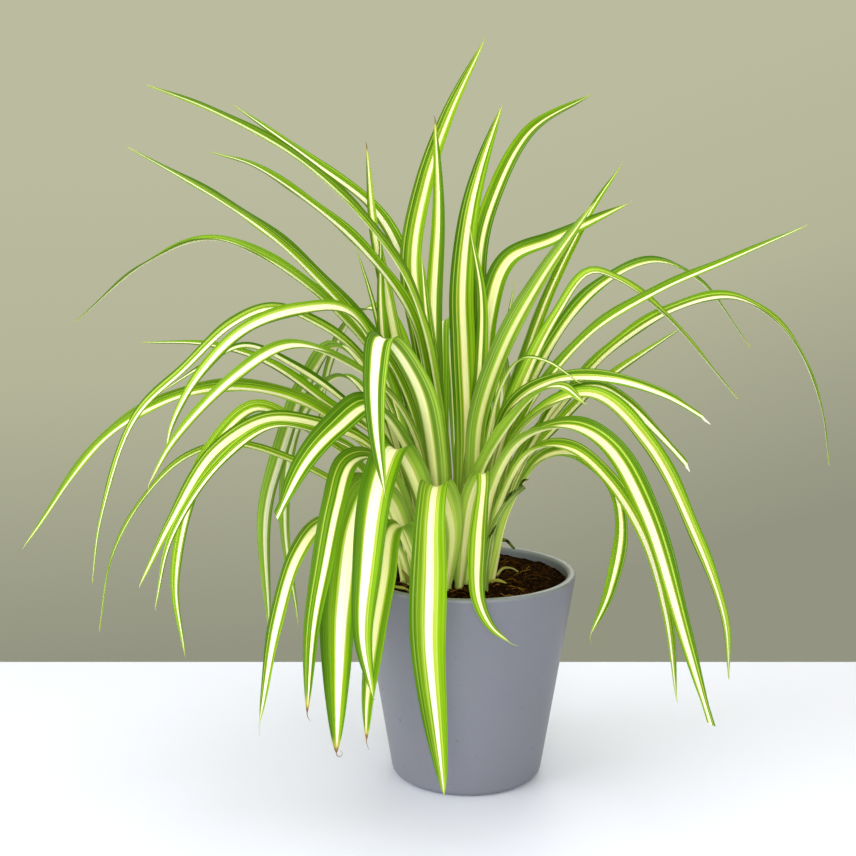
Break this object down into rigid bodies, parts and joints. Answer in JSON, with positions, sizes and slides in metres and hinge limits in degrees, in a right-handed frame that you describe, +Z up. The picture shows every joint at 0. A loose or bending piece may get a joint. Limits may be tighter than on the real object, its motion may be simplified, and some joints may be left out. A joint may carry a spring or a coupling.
{
  "type": "potted spider plant",
  "caption": "Striped strap leaves that arch and hang from one clump, rooted in soil in a plain tapered ceramic pot.",
  "frame": {"origin": "centre of the pot's flat underside", "axes": "+Z up along the pot's axis, -Y towards the viewer of the picture, +X to the viewer's right"},
  "size_m": [0.5009, 0.3619, 0.4523],
  "materials": {
    "pot": "satin-matt grey glaze, slightly blue",
    "soil": "rough dark brown coir with ochre fibres",
    "leaf": "satin, cream stripe along the middle between green margins",
    "stalk": "matt, pale green drying to straw"
  },
  "bodies": {
    "root": {"flower_stalk": "stalk", "leaf_back_1": "leaf", "leaf_back_2": "leaf", "leaf_back_3": "leaf", "leaf_back_4": "leaf", "leaf_back_5": "leaf", "leaf_front_1": "leaf", "leaf_front_2": "leaf", "leaf_front_3": "leaf", "leaf_front_4": "leaf", "leaf_front_5": "leaf", "leaf_front_6": "leaf", "leaf_front_7": "leaf", "leaf_front_8": "leaf", "leaf_front_9": "leaf", "leaf_left_1": "leaf", "leaf_left_10": "leaf", "leaf_left_11": "leaf", "leaf_left_12": "leaf", "leaf_left_13": "leaf", "leaf_left_2": "leaf", "leaf_left_3": "leaf", "leaf_left_4": "leaf", "leaf_left_5": "leaf", "leaf_left_6": "leaf", "leaf_left_7": "leaf", "leaf_left_8": "leaf", "leaf_left_9": "leaf", "leaf_left_high_1": "leaf", "leaf_left_high_2": "leaf", "leaf_left_high_3": "leaf", "leaf_left_high_4": "leaf", "leaf_left_high_5": "leaf", "leaf_right_1": "leaf", "leaf_right_10": "leaf", "leaf_right_11": "leaf", "leaf_right_12": "leaf", "leaf_right_2": "leaf", "leaf_right_3": "leaf", "leaf_right_4": "leaf", "leaf_right_5": "leaf", "leaf_right_6": "leaf", "leaf_right_7": "leaf", "leaf_right_8": "leaf", "leaf_right_9": "leaf", "leaf_upright_1": "leaf", "leaf_upright_10": "leaf", "leaf_upright_11": "leaf", "leaf_upright_12": "leaf", "leaf_upright_13": "leaf", "leaf_upright_2": "leaf", "leaf_upright_3": "leaf", "leaf_upright_4": "leaf", "leaf_upright_5": "leaf", "leaf_upright_6": "leaf", "leaf_upright_7": "leaf", "leaf_upright_8": "leaf", "leaf_upright_9": "leaf", "pot": "pot", "soil": "soil"}
  },
  "joints": []
}
